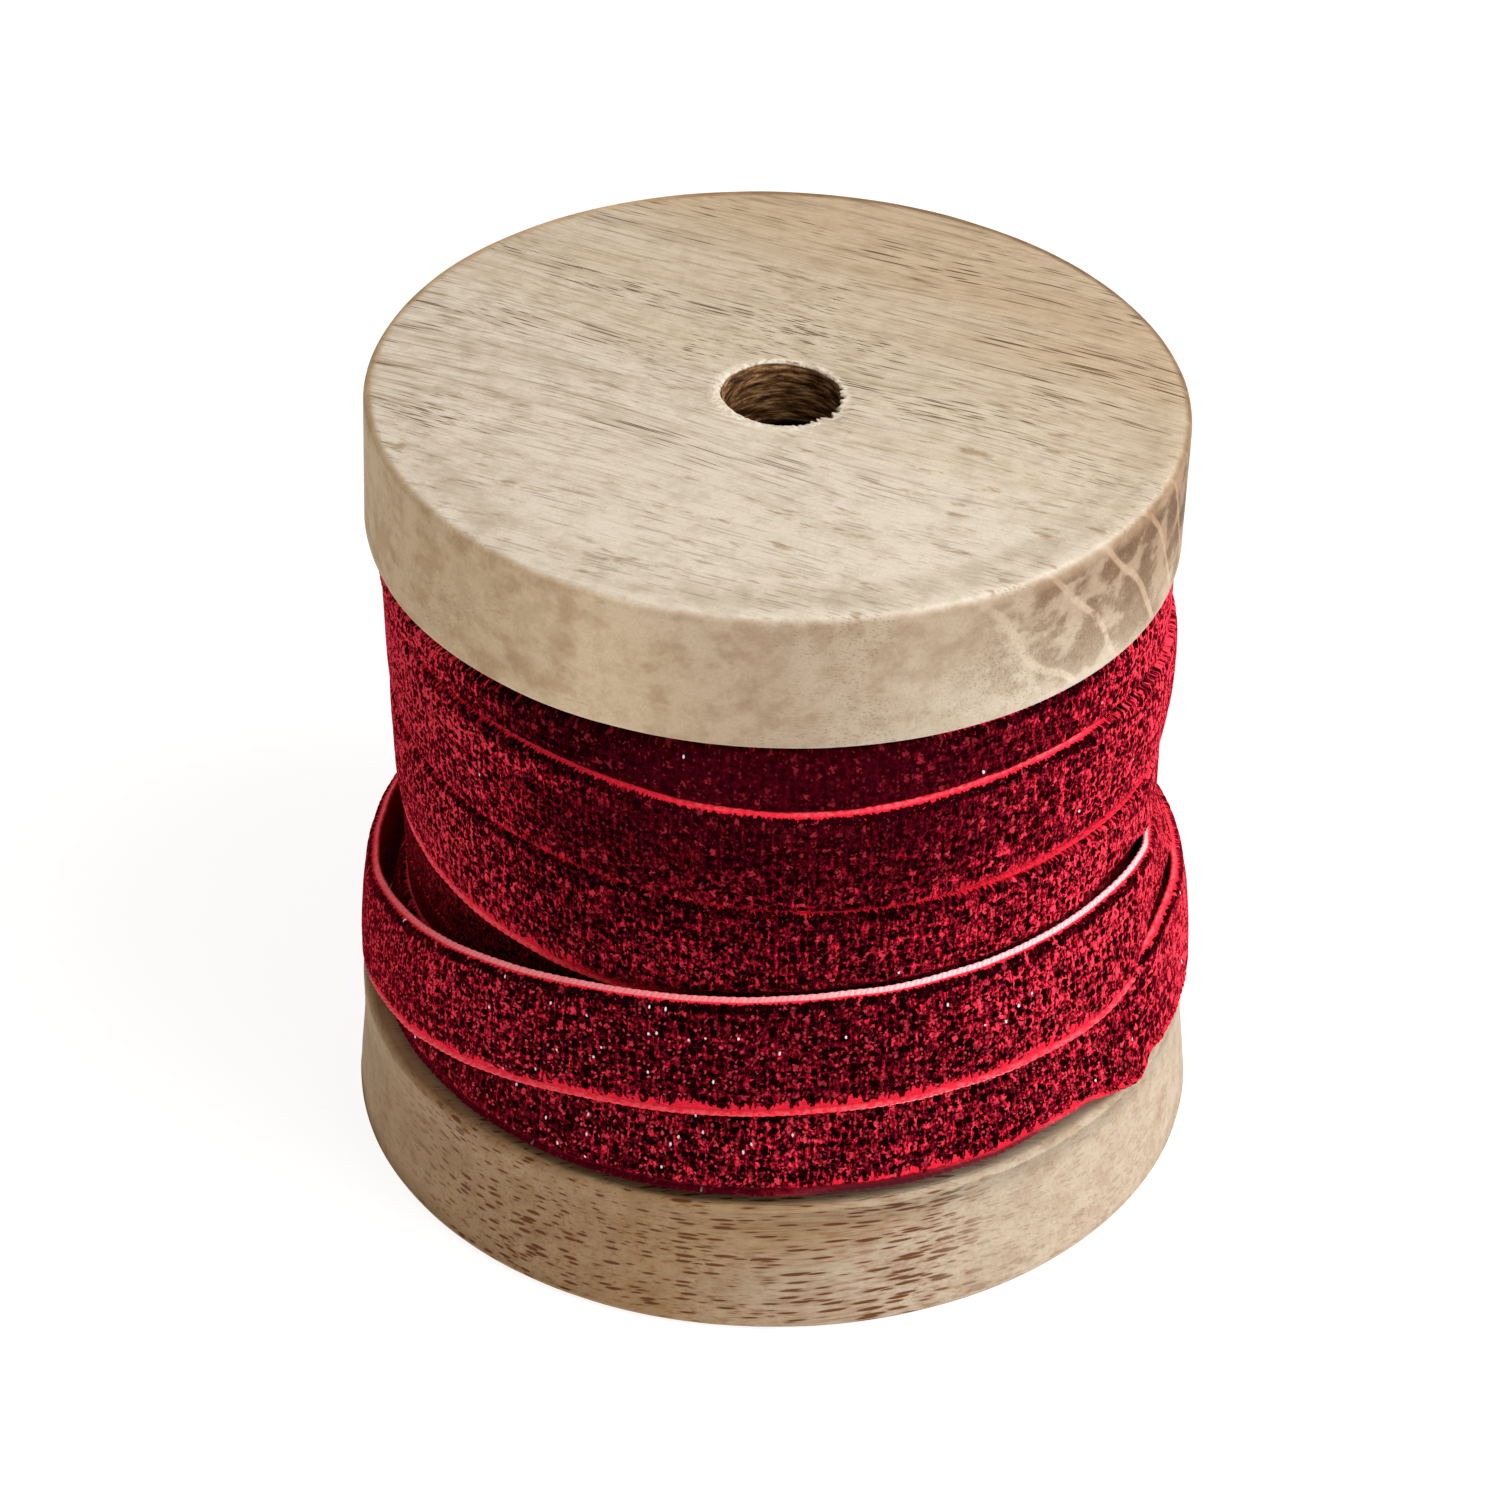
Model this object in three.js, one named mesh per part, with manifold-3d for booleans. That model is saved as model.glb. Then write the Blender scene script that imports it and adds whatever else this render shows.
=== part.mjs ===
// Velvet ribbon wound on a small wooden spool, in millimetres, +Z up.
// The origin is the centre of the spool's underside. +X is to the viewer's right and -Y is towards the viewer.
// Angles are in degrees about +Z from +X, so the left side is at 180 and the front is at 270.

import * as THREE from 'three';
import { mergeVertices } from 'three/addons/utils/BufferGeometryUtils.js';
import Module from 'manifold-3d';

const wasm = await Module();
wasm.setup();

// Driving dimensions
const RIBBON_WIDTH = 10;
const RIBBON_THICK = 1.1;
const ROWS = 4;
const GAP = 0.3;

const BASE_THICK = 11.5;
const BASE_LOW_RADIUS = 32.8;
const BASE_TOP_RADIUS = 32.2;
const TOP_THICK = 11.1;
const TOP_RADIUS = 30.5;
const TOP_TILT_DEG = 1.8;
const BARREL_RADIUS = 12;
const EASED_EDGE = 0.6;

const BORE_RADIUS = 4.3;
const TOP_BORE_X = 0.4;
const TOP_BORE_Y = -0.4;

// Resolution of the round forms
const DISC_STEPS = 84;
const TURN_STEP_DEG = 6;
const BORE_STEPS = 32;

// Worked out from these
const ROLL_FOOT_Z = BASE_THICK + GAP;
const TOP_FOOT_Z = BASE_THICK + ROWS * RIBBON_WIDTH;
const ROLL_HEAD_Z = TOP_FOOT_Z - GAP;
const TILT_SLOPE = Math.tan(THREE.MathUtils.degToRad(TOP_TILT_DEG));
const ROLL_BORE_RADIUS = BARREL_RADIUS + GAP;

// The inner layers, which the outer turns lie on, and how far the outer turns' solids reach into them
const INNER_RADIUS = 28.4;
const BURIED_RADIUS = 27.6;
const BURIED_TROUGH_RADIUS = 27.9;

// The turns stay this much inside the inner layers' flat head and foot.
const HEAD_INSET = 0.1;

// The trough behind the slack turn opens as its depth passes from the first of these to the second.
const TROUGH_SHUT = 1;
const TROUGH_OPEN = 3;
const TROUGH_LEAST = 0.3;

// The three upper rows, one strip that winds downwards, each turn lapping over the one above it.
const UPPER_COLUMNS = ['angle', 'zTop', 'rTop', 'rLow'];
const UPPER_WINDING = [
  [60, 50.9, 29.4, 29.0],
  [180, 50.9, 29.6, 29.1],
  [270, 50.8, 29.5, 29.0],
  [360, 50.0, 30.0, 29.6],
  [450, 49.6, 30.0, 29.5],
  [540, 48.9, 29.5, 29.0],
  [600, 47.1, 29.9, 29.3],
  [630, 45.4, 30.0, 29.5],
  [675, 45.7, 30.2, 29.8],
  [720, 44.0, 30.5, 29.7],
  [810, 41.5, 30.0, 29.5],
  [900, 39.4, 29.1, 28.9],
  [960, 38.0, 29.4, 29.1],
  [990, 36.8, 29.6, 29.4],
  [1035, 35.7, 29.8, 29.4],
  [1080, 34.0, 29.7, 29.3],
  [1125, 31.2, 29.6, 29.1],
  [1170, 27.5, 29.2, 28.8],
];

// The two lower turns, one slack strip. It winds upwards from the left, round the front, where it kicks out
// at the right, and back to the left, where it stands off the roll. From there it runs over itself along the
// front, stands off again at the right, and ends under its own slack at the back.
// stand is the depth of the open trough behind the strip's top edge, 0 where the strip lies on the roll.
const SLACK_COLUMNS = ['angle', 'zTop', 'rTop', 'rLow', 'stand'];
const SLACK_WINDING = [
  [152, 21.4, 28.8, 30.4, 0],
  [180, 21.6, 28.8, 30.8, 0],
  [215, 21.9, 29.3, 31.2, 0],
  [250, 22.1, 30.1, 32.0, 0],
  [290, 22.2, 30.2, 32.3, 0],
  [305, 22.0, 30.4, 32.5, 0],
  [315, 21.8, 31.0, 32.6, 0],
  [322, 21.8, 31.7, 32.7, 0],
  [330, 22.2, 32.2, 32.8, 0],
  [338, 23.2, 32.4, 32.8, 0],
  [344, 23.8, 32.3, 32.8, 0],
  [350, 23.6, 31.9, 32.7, 0],
  [358, 22.9, 31.5, 32.4, 0],
  [380, 22.5, 31.2, 32.2, 0],
  [450, 22.0, 31.2, 32.1, 0],
  [500, 21.9, 31.2, 32.1, 4],
  [525, 21.9, 31.4, 32.1, 5],
  [545, 22.3, 31.5, 32.2, 5],
  [557, 24.3, 31.6, 32.2, 5],
  [573, 25.9, 31.5, 32.2, 5],
  [588, 27.5, 31.4, 32.1, 3],
  [605, 28.8, 31.2, 31.8, 0],
  [630, 29.5, 30.9, 31.6, 0],
  [655, 29.8, 30.8, 31.7, 0],
  [670, 29.7, 30.9, 31.8, 0],
  [680, 29.8, 31.0, 31.7, 2],
  [690, 30.4, 31.4, 31.4, 3],
  [697, 30.0, 31.0, 31.3, 2],
  [704, 28.9, 30.2, 31.4, 0],
  [712, 27.8, 29.5, 31.8, 0],
  [720, 27.3, 29.3, 31.8, 0],
  [735, 27.5, 29.4, 31.1, 0],
  [765, 28.3, 29.6, 30.0, 0],
  [810, 27.4, 29.6, 29.6, 0],
  [840, 25.2, 29.5, 29.5, 0],
  [870, 21.0, 29.2, 29.2, 0],
];

// The value of each column at an angle, on a smooth curve through the table's rows.
function rowAt(table, columns, angle) {
  let low = 0;
  while (low < table.length - 2 && table[low + 1][0] <= angle) low += 1;
  const at = (index) => table[THREE.MathUtils.clamp(index, 0, table.length - 1)];
  const [before, start, end, after] = [at(low - 1), at(low), at(low + 1), at(low + 2)];
  const t = (angle - start[0]) / (end[0] - start[0]);
  const row = {};
  columns.forEach((name, column) => {
    const span = end[0] - start[0];
    const slopeIn = (end[column] - before[column]) / (end[0] - before[0]) * span;
    const slopeOut = (after[column] - start[column]) / (after[0] - start[0]) * span;
    const rise = end[column] - start[column];
    const cubic = slopeIn + slopeOut - 2 * rise;
    const square = 3 * rise - 2 * slopeIn - slopeOut;
    row[name] = start[column] + t * (slopeIn + t * (square + t * cubic));
  });
  return row;
}

function onCircle(angle, radius, z) {
  const turn = THREE.MathUtils.degToRad(angle);
  return [radius * Math.cos(turn), radius * Math.sin(turn), z];
}

function capFaces(section) {
  const outline = section.map(([r, z]) => new THREE.Vector2(r, z));
  return THREE.ShapeUtils.triangulateShape(outline, []);
}

// A strip's closed solid: one section of [radius, z] points for each angle, skinned and capped.
function stripSolid(angles, sectionAt) {
  const sections = angles.map((angle) => sectionAt(angle));
  const size = sections[0].length;
  const points = sections.flatMap((section, i) => section.flatMap(([r, z]) => onCircle(angles[i], r, z)));
  const faces = [];
  for (let i = 0; i < sections.length - 1; i += 1) {
    for (let j = 0; j < size; j += 1) {
      const a = i * size + j;
      const b = i * size + (j + 1) % size;
      faces.push(a, b + size, b, a, a + size, b + size);
    }
  }
  const lastRow = (sections.length - 1) * size;
  for (const [a, b, c] of capFaces(sections[0])) faces.push(a, b, c);
  for (const [a, b, c] of capFaces(sections.at(-1))) faces.push(lastRow + a, lastRow + c, lastRow + b);
  const geometry = new THREE.BufferGeometry();
  geometry.setAttribute('position', new THREE.Float32BufferAttribute(points, 3));
  geometry.setIndex(faces);
  return toManifold(geometry);
}

function toManifold(geometry) {
  const bare = geometry.clone();
  bare.deleteAttribute('normal');
  bare.deleteAttribute('uv');
  const merged = mergeVertices(bare, 1e-4);
  return new wasm.Manifold(new wasm.Mesh({
    numProp: 3,
    vertProperties: new Float32Array(merged.attributes.position.array),
    triVerts: new Uint32Array(merged.index.array),
  }));
}

function toGeometry(solid) {
  const mesh = solid.getMesh();
  const geometry = new THREE.BufferGeometry();
  geometry.setAttribute('position', new THREE.BufferAttribute(mesh.vertProperties, 3));
  geometry.setIndex(new THREE.BufferAttribute(mesh.triVerts, 1));
  geometry.computeVertexNormals();
  return geometry;
}

// Turns a profile of [radius, z] points about +Z. The profile closes on itself and runs anticlockwise.
function turned(profile, steps) {
  const points = profile.map(([r, z]) => new THREE.Vector2(r, z));
  points.push(points[0].clone());
  return new THREE.LatheGeometry(points, steps).rotateX(Math.PI / 2);
}

// Lowers or raises the points above a height so that a flat head lies along the upper disc's tilt.
function followTilt(geometry, above) {
  const position = geometry.attributes.position;
  for (let i = 0; i < position.count; i += 1) {
    if (position.getZ(i) > above) position.setZ(i, position.getZ(i) - TILT_SLOPE * position.getX(i));
  }
  return geometry;
}

// The lower disc and the barrel, one turned piece with the bore through it.
function spoolBase() {
  const profile = [
    [BORE_RADIUS, 0],
    [BASE_LOW_RADIUS - EASED_EDGE, 0],
    [BASE_LOW_RADIUS, EASED_EDGE],
    [BASE_TOP_RADIUS, BASE_THICK - EASED_EDGE],
    [BASE_TOP_RADIUS - EASED_EDGE, BASE_THICK],
    [BARREL_RADIUS, BASE_THICK],
    [BARREL_RADIUS, ROLL_HEAD_Z],
    [BORE_RADIUS, ROLL_HEAD_Z],
  ];
  return followTilt(turned(profile, DISC_STEPS), ROLL_HEAD_Z - GAP);
}

// The upper disc, about its own underside, with its bore a little off the middle.
function spoolTop() {
  const disc = turned([
    [0, 0],
    [TOP_RADIUS - EASED_EDGE, 0],
    [TOP_RADIUS, EASED_EDGE],
    [TOP_RADIUS, TOP_THICK - EASED_EDGE],
    [TOP_RADIUS - EASED_EDGE, TOP_THICK],
    [0, TOP_THICK],
  ], DISC_STEPS);
  const drill = new THREE.CylinderGeometry(BORE_RADIUS, BORE_RADIUS, 3 * TOP_THICK, BORE_STEPS);
  drill.rotateX(Math.PI / 2).translate(TOP_BORE_X, TOP_BORE_Y, TOP_THICK / 2);
  return toGeometry(toManifold(disc).subtract(toManifold(drill)));
}

// The layers under the outer turns, a ring round the barrel.
function innerLayers() {
  const profile = [
    [ROLL_BORE_RADIUS, ROLL_FOOT_Z],
    [INNER_RADIUS, ROLL_FOOT_Z],
    [INNER_RADIUS, ROLL_HEAD_Z],
    [ROLL_BORE_RADIUS, ROLL_HEAD_Z],
  ];
  return toManifold(followTilt(turned(profile, DISC_STEPS), ROLL_HEAD_Z - GAP));
}

function anglesOf(table) {
  const first = table[0][0];
  const last = table[table.length - 1][0];
  const count = Math.round((last - first) / TURN_STEP_DEG);
  return Array.from({ length: count + 1 }, (_, i) => first + (last - first) * i / count);
}

// The strip's low edge: the ribbon keeps its width along its lean.
function lowEdge(row) {
  const lean = row.rLow - row.rTop;
  return Math.max(row.zTop - Math.sqrt(RIBBON_WIDTH ** 2 - lean ** 2), ROLL_FOOT_Z + HEAD_INSET);
}

// A strip laps over itself, so it is joined from half turns that don't.
function joinedStrip(table, sectionAt) {
  const angles = anglesOf(table);
  const perHalfTurn = Math.round(180 / TURN_STEP_DEG);
  let strip = null;
  for (let first = 0; first < angles.length - 1; first += perHalfTurn) {
    const half = stripSolid(angles.slice(first, first + perHalfTurn + 1), sectionAt);
    strip = strip ? strip.add(half) : half;
  }
  return strip;
}

function upperTurns() {
  return joinedStrip(UPPER_WINDING, (angle) => {
    const row = rowAt(UPPER_WINDING, UPPER_COLUMNS, angle);
    const headHere = ROLL_HEAD_Z - HEAD_INSET - TILT_SLOPE * onCircle(angle, row.rTop, 0)[0];
    const top = Math.min(row.zTop, headHere);
    const low = lowEdge(row);
    return [[row.rTop, top], [BURIED_RADIUS, top], [BURIED_RADIUS, low], [row.rLow, low]];
  });
}

function slackTurns() {
  return joinedStrip(SLACK_WINDING, (angle) => {
    const row = rowAt(SLACK_WINDING, SLACK_COLUMNS, angle);
    const low = lowEdge(row);
    const open = THREE.MathUtils.smoothstep(row.stand, TROUGH_SHUT, TROUGH_OPEN);
    const back = THREE.MathUtils.lerp(BURIED_TROUGH_RADIUS, row.rTop - RIBBON_THICK, open);
    const floor = row.zTop - Math.max(row.stand, TROUGH_LEAST);
    return [
      [row.rTop, row.zTop],
      [back, row.zTop],
      [back, floor],
      [BURIED_RADIUS, floor],
      [BURIED_RADIUS, low],
      [row.rLow, low],
    ];
  });
}

function ribbonRoll() {
  return toGeometry(innerLayers().add(upperTurns()).add(slackTurns()));
}

const wood = new THREE.MeshStandardMaterial({ color: 0xcbb798, roughness: 0.72, metalness: 0 });
const velvet = new THREE.MeshStandardMaterial({ color: 0x8a0f20, roughness: 0.95, metalness: 0 });

function piece(name, geometry, material) {
  const mesh = new THREE.Mesh(geometry, material.clone());
  mesh.name = name;
  return mesh;
}

const spool = new THREE.Group();
const upperDisc = piece('spool_top', spoolTop(), wood);
upperDisc.position.z = TOP_FOOT_Z;
upperDisc.rotation.y = THREE.MathUtils.degToRad(TOP_TILT_DEG);
spool.add(piece('spool_base', spoolBase(), wood));
spool.add(piece('ribbon_roll', ribbonRoll(), velvet));
spool.add(upperDisc);

export default spool;
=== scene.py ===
# Velvet ribbon wound on a small wooden spool: the looks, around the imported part.
# Sizes are in millimetres and are scaled to metres where a mesh is made. Angles are in degrees about +Z
# from +X, so the left side is at 180 and the front is at 270. They run on over a strip's turns.

import math

import bpy
import numpy as np
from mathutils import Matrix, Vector


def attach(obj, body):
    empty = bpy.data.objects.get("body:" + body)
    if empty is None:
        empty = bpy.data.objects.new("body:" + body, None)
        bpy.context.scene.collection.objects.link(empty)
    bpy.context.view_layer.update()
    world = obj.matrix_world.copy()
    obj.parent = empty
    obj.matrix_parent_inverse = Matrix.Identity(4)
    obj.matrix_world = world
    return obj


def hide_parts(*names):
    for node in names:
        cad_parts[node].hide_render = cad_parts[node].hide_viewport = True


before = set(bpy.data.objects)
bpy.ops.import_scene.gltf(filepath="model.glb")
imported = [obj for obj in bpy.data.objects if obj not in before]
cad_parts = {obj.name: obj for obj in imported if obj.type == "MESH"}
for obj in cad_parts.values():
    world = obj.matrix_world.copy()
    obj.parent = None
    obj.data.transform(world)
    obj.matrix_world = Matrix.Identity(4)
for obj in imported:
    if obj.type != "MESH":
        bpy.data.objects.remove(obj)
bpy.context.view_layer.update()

MM = 0.001
TURN = 360

# Camera, in the photograph's square frame
FRAME_PX = 1500
FOCAL_PX = 5551
SENSOR_MM = 36
CAMERA_DISTANCE = 427
CAMERA_ELEVATION = 34.85
AIM = (-1.778, 0, 30.42)

# The spool, as in the part's source
BASE_THICK = 11.5
BASE_LOW_RADIUS = 32.8
BASE_TOP_RADIUS = 32.2
TOP_FOOT_Z = 51.5
TOP_THICK = 11.1
TOP_RADIUS = 30.5
TOP_TILT_DEG = 1.8
BARREL_RADIUS = 12
BORE_RADIUS = 4.3
TOP_BORE = (0.4, -0.4)
ROLL_FOOT_Z = 11.8
ROLL_HEAD_Z = 51.2
TOP_FACE_Z = TOP_FOOT_Z + TOP_THICK
TILT_SLOPE = math.tan(math.radians(TOP_TILT_DEG))
# The lower disc's side is turned slightly hollow: height and radius
BASE_SIDE = ((0.7, 32.75), (2.5, 32.65), (4, 32.5), (5.5, 32.35), (7, 32.22), (8.5, 32.18), (10.8, 32.2))
BASE_EDGE_SOFT = 0.7
TOP_EDGE_SOFT = 0.6
BORE_SOFT = 0.3
# The upper disc's rim round the bore: how far out from the bore and down from the face
TOP_RIM = ((1.2, 0), (0.2, 0), (0.1, 0.2), (0, 0.5))
TURNED_STEPS = 360
# Waves round a piece come from noise along a circle of this radius, in knots. Then how high the slow and the
# quick ones on its side are, and those on its flat faces.
LAP = 3
SLOW_WAVE, QUICK_WAVE, FACE_WAVE = 0.05, 0.02, 0.02
# The torn rim: how deep and how wide it is, how far its splinters reach and how much more at the right, and
# at which angle it is worn round and how far
TORN_DEEP = 0.6
TORN_WIDE = (0.3, 1.1)
TORN_LEAST, TORN_MORE = 0.08, 0.5
WORN_DEG, WORN_FAR = 135, 0.45

# The ribbon's section, from its face inwards. Its pile stops short of both edges, which are flat selvedges
# with a corded rim.
RIBBON_WIDTH = 10
PILE_HIGH = 0.5
CLOTH_THICK = 0.4
SELVEDGE_TOP = 0.36
SELVEDGE_LOW = 0.6
CORD_RADIUS = 0.15
CURL_IN = 0.05
FLARE_OUT = 0.08
BACK_INSET_TOP = 0.8
BACK_INSET_LOW = 0.7
PILE_ROWS = 30

# The tufts' cells along and down the ribbon, how far and how fast they wander, counted in cells, and the
# pits between them
CELL = 0.72
CELL_DOWN = 0.84
STEPS_A_CELL = 3
CELL_WANDER = 0.3
WANDER_STEP = 1.1
PIT_EDGE = (0.12, 0.48)
PIT_DEEP = 0.13

# The pile's shoulder beside a selvedge, over a stretch from the pile's edge inwards, and the cord's beads
SHOULDER = (-0.05, 0.45)
SHOULDER_DEEP = 0.2
BEAD_HIGH = 0.05
# How high the cloth's small and large waves are, how far its tufts and edges stray, and over what length
RIPPLE_HIGH, RIPPLE_LONG = 0.05, 2.5
SWELL_HIGH, SWELL_LONG, SWELL_WIDE = 0.1, 14, 9
TUFT_SHIFT = 0.07
EDGE_SHIFT, EDGE_SHIFT_LONG = 0.08, 6
# A face whose mean zone is over this takes the selvedge's material
BARE_FROM = 0.8
# How far the strips stay under the upper disc
HEAD_GAP = 0.1

# Where a turn lies under another one it is tucked in. The tuck sets in over these heights about the other
# one's edge: the next upper turn's, a slack turn's and the lifted turn's low one.
TUCK_DEEP = 0.8
LAP_NEXT = (-0.5, 0.15)
LAP_SLACK = (-0.7, 0.1)
LAP_LIFTED = (-0.1, 0.5)

# The inner layers under the outer turns, with a groove between each two
INNER_RADIUS = 28.1
INNER_BORE_RADIUS = 12.3
INNER_LAYER = 1.1
GROOVE_IN, GROOVE_OUT, GROOVE_DEEP = 0.3, 0.1, 0.5
INNER_STEPS = 180

# The windings, in degrees and millimetres: the height and radius of the outer face at the strip's top
# edge, its radius at the low edge, and how far its middle stands out between them.
UPPER_WINDING = np.array([
    (60, 50.9, 29.4, 29.0, 0.1), (180, 50.9, 29.6, 29.1, 0.1), (270, 50.8, 29.5, 29.0, 0.2),
    (360, 50.0, 30.0, 29.6, 0.2), (450, 49.6, 30.0, 29.5, 0.2), (540, 48.9, 29.5, 29.0, 0.1),
    (600, 47.1, 29.9, 29.3, 0.2), (630, 45.4, 30.0, 29.5, 0.2), (675, 45.7, 30.2, 29.7, 0.2),
    (720, 44.0, 30.4, 29.5, 0.4), (810, 41.5, 30.0, 29.5, 0.2), (900, 39.4, 29.1, 28.8, 0.1),
    (960, 38.0, 29.4, 29.1, 0.1), (990, 36.8, 29.6, 29.4, 0.2), (1035, 35.7, 29.8, 29.4, 0.2),
    (1080, 34.0, 29.6, 29.2, 0.1), (1125, 31.2, 29.6, 29.0, 0.2), (1170, 27.5, 29.2, 28.8, 0.1),
])
SLACK_WINDING = np.array([
    (152, 21.4, 28.8, 30.4, 0), (180, 21.6, 28.8, 30.8, 0.1), (215, 21.9, 29.3, 31.2, 0.2),
    (250, 22.1, 30.1, 32.0, 0.2), (290, 22.2, 30.2, 32.3, 0.2), (305, 22.0, 30.4, 32.5, 0.2),
    (315, 21.8, 30.7, 32.6, 0.1), (322, 21.6, 30.9, 32.7, 0.1), (328, 21.8, 31.3, 32.8, 0),
    (331, 22.2, 31.9, 32.8, 0), (334, 22.8, 32.3, 32.8, 0), (338, 23.8, 32.4, 32.8, 0),
    (344, 24.4, 32.3, 32.8, 0), (350, 24.0, 31.9, 32.7, 0.2), (358, 22.9, 31.5, 32.4, 0.3),
    (380, 22.5, 31.2, 32.2, 0.3), (450, 22.0, 31.2, 32.1, 0.2),
    (500, 21.9, 31.2, 32.1, 0.2), (525, 21.9, 31.4, 32.1, 0.2), (545, 22.3, 31.5, 32.2, 0.3),
    (557, 24.3, 31.6, 32.2, 0.3), (573, 25.9, 31.5, 32.2, 0.4), (588, 27.5, 31.4, 32.1, 0.4),
    (605, 28.8, 31.2, 31.8, 0.3), (630, 29.5, 30.9, 31.6, 0.2), (655, 29.8, 30.8, 31.7, 0.2),
    (670, 29.7, 30.9, 31.8, 0.2), (680, 29.8, 31.0, 31.9, 0.1), (690, 30.4, 31.4, 31.8, 0),
    (697, 30.0, 31.0, 31.3, 0), (704, 28.9, 30.2, 31.4, 0.2), (712, 27.8, 29.5, 31.8, 0.5),
    (720, 27.3, 29.3, 31.8, 0.5), (735, 27.5, 29.4, 31.1, 0.3), (765, 28.3, 29.6, 30.0, 0.1),
    (810, 27.4, 29.6, 29.6, 0), (840, 25.2, 29.5, 29.5, 0), (870, 21.0, 29.2, 29.2, 0),
])
INNER_WINDING = np.array([
    (60, 36.0, 28.4, 28.4, 0), (240, 33.5, 28.5, 28.5, 0), (420, 29.0, 28.5, 28.5, 0),
    (600, 24.5, 28.5, 28.5, 0), (780, 22.0, 28.5, 28.5, 0),
])

# How bare each edge is of pile along a strip, from 0, hidden by it, to 1: the upper edge, then the lower
UPPER_BARE = (
    ((60, 0), (290, 0), (298, 0.6), (318, 0.6), (325, 0), (480, 0.2), (540, 0.5), (560, 0.45), (610, 0.5),
     (618, 0.7), (623, 1), (626, 0.6), (630, 0.6), (633, 1), (672, 1), (680, 0.7), (688, 0), (740, 0.1),
     (800, 0.5), (880, 0.45), (930, 0.5), (970, 0.55), (980, 0.68), (1005, 0.68), (1015, 0.5), (1030, 0.45),
     (1045, 0.3), (1060, 0), (1080, 0), (1130, 0.5)),
    ((60, 0.5), (880, 0.5), (895, 1), (968, 1), (980, 0.3), (1060, 0.3), (1100, 1)),
)
SLACK_BARE = (
    ((152, 0.6), (300, 0.6), (318, 1), (350, 1), (358, 0.6), (480, 0.6), (510, 1), (698, 1), (712, 0.4),
     (740, 0.6)),
    ((152, 0), (264, 0), (280, 1), (316, 1), (322, 0.3), (345, 0.3), (370, 0.6), (560, 0.7), (575, 1),
     (688, 1), (700, 0.5), (720, 0.6)),
)
PLAIN_BARE = (((0, 0.2),), ((0, 0.2),))

# How far the slack strip's low edge is lifted along it, where it drags on the lower disc
SLACK_LIFT = ((290, 0), (301, 0.35), (310, 1.3), (318, 1.4), (323, 0.6), (327.5, -0.4), (329.7, -0.6),
              (332, 0.8), (336, -0.7), (343, -1.4), (350, -1), (358, -0.2), (366, 0))
NO_LIFT = ((0, 0),)

# The slack strip's lifted turn over the one before it, and the stretch where it runs under that one again
LIFTED_FROM, LIFTED_TO = (560, 600), (666, 678)
TUCKED_FROM = (689, 695)
SLACK_BESIDE_UPPER = (600, 625)


# Shapes

def rows_at(table, angles):
    """The table's columns at each angle, on a smooth curve through its rows."""
    keys = table[:, 0]
    low = np.clip(np.searchsorted(keys, angles, side="right") - 1, 0, len(keys) - 2)
    before, start, end, after = (table[np.clip(low + k, 0, len(keys) - 1)] for k in (-1, 0, 1, 2))
    span = (end[:, 0] - start[:, 0])[:, None]
    t = ((angles - start[:, 0]) / span[:, 0])[:, None]
    slope_in = (end - before) / (end[:, :1] - before[:, :1]) * span
    slope_out = (after - start) / (after[:, :1] - start[:, :1]) * span
    rise = end - start
    cubic = slope_in + slope_out - 2 * rise
    square = 3 * rise - 2 * slope_in - slope_out
    return start + t * (slope_in + t * (square + t * cubic))


def smooth(low, high, x):
    """0 below low, 1 above high and a soft step between them."""
    t = np.clip((np.asarray(x, float) - low) / (high - low), 0, 1)
    return t * t * (3 - 2 * t)


def field(rng, x, y):
    """Smooth random values from -1 to 1 at the points x, y, one knot for each whole step."""
    x, y = np.broadcast_arrays(x, y)
    x = x - x.min()
    y = y - y.min()
    knots = rng.uniform(-1, 1, (int(x.max()) + 3, int(y.max()) + 3))
    i, j = x.astype(int), y.astype(int)
    s, t = smooth(0, 1, x - i), smooth(0, 1, y - j)
    near = knots[i, j] * (1 - t) + knots[i, j + 1] * t
    far = knots[i + 1, j] * (1 - t) + knots[i + 1, j + 1] * t
    return near * (1 - s) + far * s


def mesh_object(name, points, quads, caps=(), attributes=None):
    """A smooth object from millimetre points, quads and end caps, with a vector attribute for each name."""
    mesh = bpy.data.meshes.new(name)
    corners = [list(face) for face in quads.tolist()] + [list(map(int, cap)) for cap in caps]
    mesh.from_pydata((points * MM).tolist(), [], corners)
    for key, values in (attributes or {}).items():
        layer = mesh.attributes.new(key, "FLOAT_VECTOR", "POINT")
        layer.data.foreach_set("vector", values.astype(np.float32).ravel())
    mesh.polygons.foreach_set("use_smooth", [True] * len(mesh.polygons))
    mesh.update()
    piece = bpy.data.objects.new(name, mesh)
    bpy.context.scene.collection.objects.link(piece)
    return piece


def grid_quads(rows, columns, wrap_rows):
    """Quads of a grid whose columns close on themselves, and its rows too where they wrap."""
    i = np.arange(rows if wrap_rows else rows - 1)[:, None]
    j = np.arange(columns)[None, :]
    here, along = i * columns, (i + 1) % rows * columns
    beside = (j + 1) % columns
    return np.stack([here + j, along + j, along + beside, here + beside], axis=-1).reshape(-1, 4)


def as_points(x, y, z):
    """Three grids, or what fills one, as one list of points."""
    return np.stack(np.broadcast_arrays(x, y, z), axis=-1).reshape(-1, 3)


# The ribbon

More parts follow.
